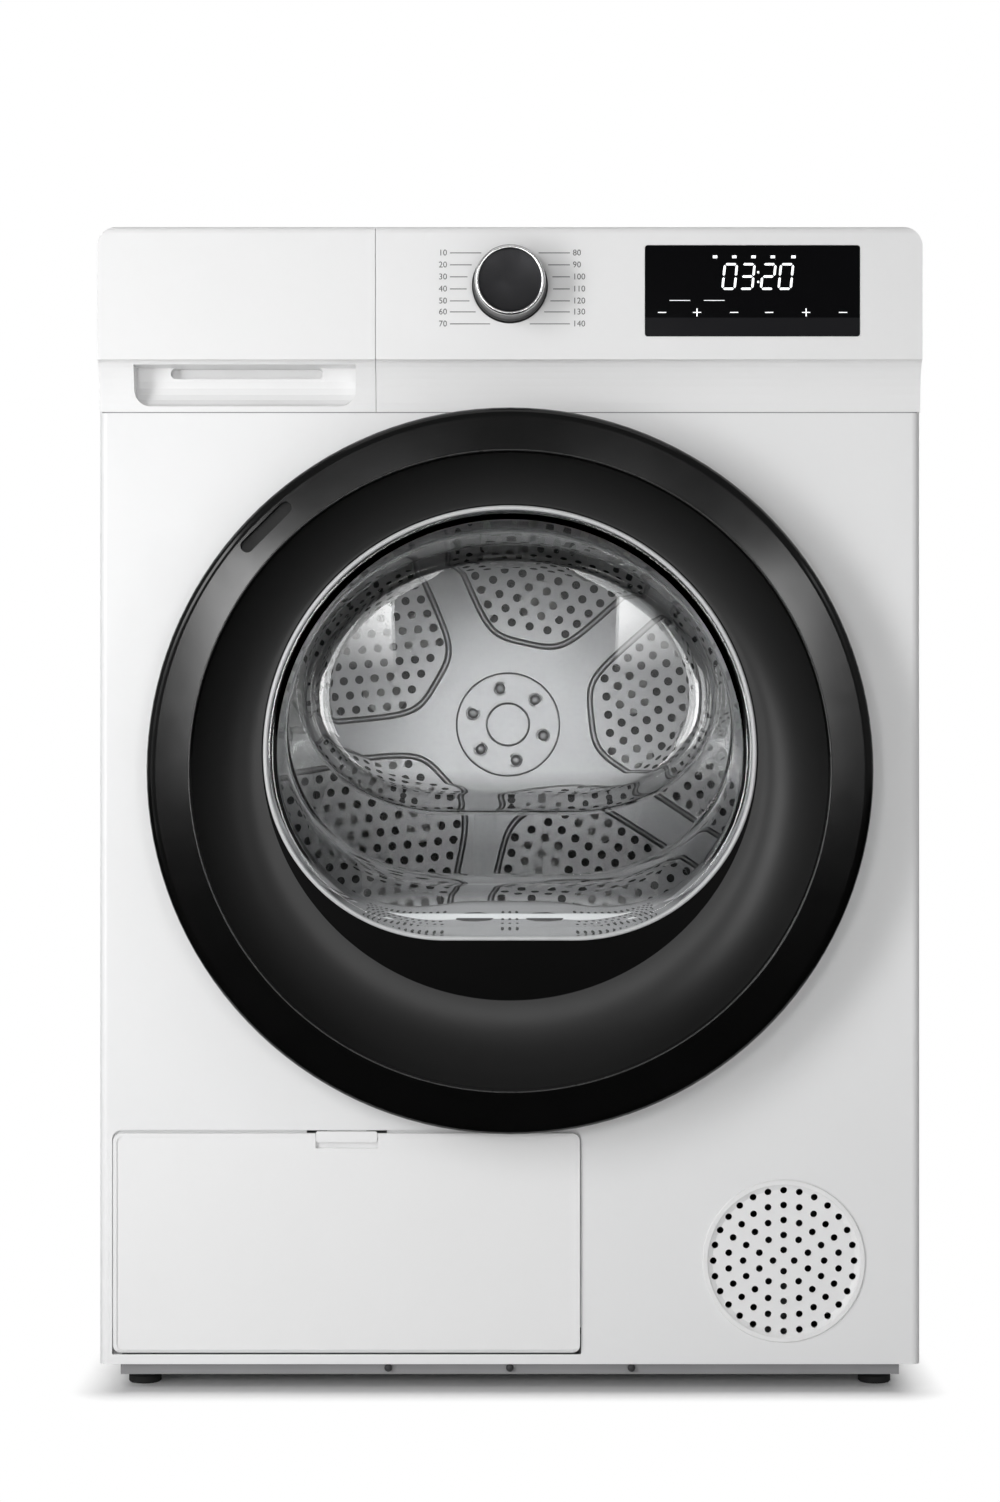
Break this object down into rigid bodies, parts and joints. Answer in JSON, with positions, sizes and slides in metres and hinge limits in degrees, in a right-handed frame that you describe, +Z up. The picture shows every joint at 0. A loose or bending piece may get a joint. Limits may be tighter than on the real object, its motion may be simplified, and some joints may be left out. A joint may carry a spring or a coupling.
{
  "type": "clothes dryer",
  "caption": "Free-standing clothes dryer with a round hinged door and glass bowl, turning drum, sliding water tank, control knob and service flap.",
  "frame": {"origin": "on the floor, under the middle of the whole object's box", "axes": "+Z up, the door faces -Y, +X is to the viewer's right"},
  "size_m": [0.6, 0.655, 0.85],
  "materials": {
    "white_steel": "smooth white enamel",
    "white_plastic": "satin white",
    "galvanised": "galvanised sheet",
    "black_gloss": "polished black",
    "black_plastic": "fine grain black",
    "smoked": "smoked dark",
    "glass": "clear toughened glass",
    "display": "black glass",
    "grey_plastic": "grey moulded plastic",
    "pale_plastic": "pale grey moulded plastic",
    "dark_plastic": "dark grey moulded plastic",
    "steel": "brushed stainless steel",
    "drum_steel": "polished stainless steel",
    "spun": "dark spun metal",
    "aluminium": "thin fins",
    "board": "printed circuit board",
    "rubber": "matte rubber",
    "grey_rubber": "grey moulded rubber",
    "felt": "wool felt",
    "black_steel": "black lacquer",
    "green_plastic": "green levers",
    "pom": "white acetal"
  },
  "bodies": {
    "cabinet": {"base_tray": "dark_plastic", "left_side_panel": "white_steel", "right_side_panel": "white_steel", "rear_panel": "galvanised", "rear_duct_cover": "galvanised", "top_cover": "white_plastic", "front_panel": "white_steel", "front_bulkhead": "pale_plastic", "rear_bulkhead": "galvanised", "control_panel": "white_plastic", "display_glass": "display", "control_board": "board", "knob_ring": "black_plastic", "tank_bay": "pale_plastic", "hinge_bracket": "steel", "door_catch": "dark_plastic", "door_seal": "grey_rubber", "rear_bearing": "steel", "felt_seals": "felt", "roller_axles": "steel", "drive_belt": "rubber", "drive_motor": "steel", "fan_housing": "grey_plastic", "exchanger_coils": "aluminium", "exchanger_housing": "grey_plastic", "exchanger_cover": "grey_plastic", "compressor": "black_steel", "cooling_fan_motor": "black_plastic", "condensate_pump": "dark_plastic", "vent_grille": "white_plastic"},
    "control_knob": {"knob": "spun"},
    "tank_drawer": {"drawer_front": "white_plastic", "water_tank": "pale_plastic"},
    "door": {"door_ring": "black_gloss", "door_grip": "black_plastic", "door_dish": "smoked", "door_glass": "glass", "door_inner_frame": "dark_plastic", "latch_hook": "steel", "hinge_leaf": "steel"},
    "filter": {"lint_filter": "pale_plastic"},
    "drum": {"drum_shell": "drum_steel", "drum_back": "drum_steel", "drum_shaft": "steel", "drum_lifters": "pale_plastic"},
    "left_support_roller": {"left_roller": "grey_rubber"},
    "right_support_roller": {"right_roller": "grey_rubber"},
    "motor_rotor": {"motor_shaft": "steel", "process_fan": "grey_plastic"},
    "tension_arm": {"idler_arm": "steel"},
    "tension_pulley": {"idler_pulley": "pom"},
    "compressor_fan": {"cooling_fan": "dark_plastic"},
    "left_lever": {"left_cover_lever": "green_plastic"},
    "right_lever": {"right_cover_lever": "green_plastic"},
    "flap": {"service_flap": "white_plastic"},
    "latch_tab": {"flap_latch": "white_plastic"},
    "foot_front_left": {"front_left_foot": "rubber"},
    "foot_front_right": {"front_right_foot": "rubber"},
    "foot_rear_left": {"rear_left_foot": "rubber"},
    "foot_rear_right": {"rear_right_foot": "rubber"}
  },
  "joints": [
    {"name": "door_hinge", "type": "hinge", "parent": "cabinet", "child": "door", "pos_m": [0.2505, -0.3075, 0.454], "axis": [0, 0, 1], "range_deg": [0, 120]},
    {"name": "tank_slide", "type": "slide", "parent": "cabinet", "child": "tank_drawer", "axis": [0, -1, 0], "range_m": [0, 0.4]},
    {"name": "knob_turn", "type": "hinge", "parent": "cabinet", "child": "control_knob", "pos_m": [0, -0.31, 0.8068], "axis": [0, -1, 0], "continuous": true},
    {"name": "filter_lift", "type": "slide", "parent": "cabinet", "child": "filter", "axis": [0, 0, 1], "range_m": [0, 0.02]},
    {"name": "drum_spin", "type": "hinge", "parent": "cabinet", "child": "drum", "pos_m": [0, 0, 0.492], "axis": [0, 1, 0], "continuous": true},
    {"name": "motor_spin", "type": "hinge", "parent": "cabinet", "child": "motor_rotor", "pos_m": [0.11, 0, 0.112], "axis": [0, 1, 0], "continuous": true},
    {"name": "left_roller_spin", "type": "hinge", "parent": "cabinet", "child": "left_support_roller", "pos_m": [-0.16771, -0.2, 0.25248], "axis": [0, 1, 0], "continuous": true},
    {"name": "right_roller_spin", "type": "hinge", "parent": "cabinet", "child": "right_support_roller", "pos_m": [0.16771, -0.2, 0.25248], "axis": [0, 1, 0], "continuous": true},
    {"name": "tension_swing", "type": "hinge", "parent": "cabinet", "child": "tension_arm", "pos_m": [0.09899, 0.03, 0.0865], "axis": [0, -1, 0], "range_deg": [0, 10], "stiffness_Nm_per_rad": 1, "springref_deg": -17.19},
    {"name": "tension_pulley_spin", "type": "hinge", "parent": "tension_arm", "child": "tension_pulley", "pos_m": [0.04693, 0.025, 0.11633], "axis": [0, 1, 0], "continuous": true},
    {"name": "compressor_fan_spin", "type": "hinge", "parent": "cabinet", "child": "compressor_fan", "pos_m": [0.2003, -0.24, 0.0955], "axis": [0, 1, 0], "continuous": true},
    {"name": "left_lever_turn", "type": "hinge", "parent": "cabinet", "child": "left_lever", "pos_m": [-0.2492, -0.27, 0.108], "axis": [0, 1, 0], "range_deg": [0, 90]},
    {"name": "right_lever_turn", "type": "hinge", "parent": "cabinet", "child": "right_lever", "pos_m": [0.0072, -0.27, 0.108], "axis": [0, 1, 0], "range_deg": [-90, 0]},
    {"name": "flap_hinge", "type": "hinge", "parent": "cabinet", "child": "flap", "pos_m": [-0.1193, -0.2775, 0.035], "axis": [1, 0, 0], "range_deg": [0, 90]},
    {"name": "latch_press", "type": "slide", "parent": "flap", "child": "latch_tab", "axis": [0, 0, -1], "range_m": [0, 0.003], "stiffness_N_per_m": 400},
    {"name": "front_left_foot_turn", "type": "hinge", "parent": "cabinet", "child": "foot_front_left", "pos_m": [-0.271, -0.2425, 0], "axis": [0, 0, 1], "continuous": true},
    {"name": "front_right_foot_turn", "type": "hinge", "parent": "cabinet", "child": "foot_front_right", "pos_m": [0.271, -0.2425, 0], "axis": [0, 0, 1], "continuous": true},
    {"name": "rear_left_foot_turn", "type": "hinge", "parent": "cabinet", "child": "foot_rear_left", "pos_m": [-0.271, 0.2775, 0], "axis": [0, 0, 1], "continuous": true},
    {"name": "rear_right_foot_turn", "type": "hinge", "parent": "cabinet", "child": "foot_rear_right", "pos_m": [0.271, 0.2775, 0], "axis": [0, 0, 1], "continuous": true}
  ],
  "couplings": [
    {"joint": "motor_spin", "follows": "drum_spin", "ratio": 27.7},
    {"joint": "left_roller_spin", "follows": "drum_spin", "ratio": -8.7333},
    {"joint": "right_roller_spin", "follows": "drum_spin", "ratio": -8.7333},
    {"joint": "tension_pulley_spin", "follows": "drum_spin", "ratio": -17.5}
  ]
}
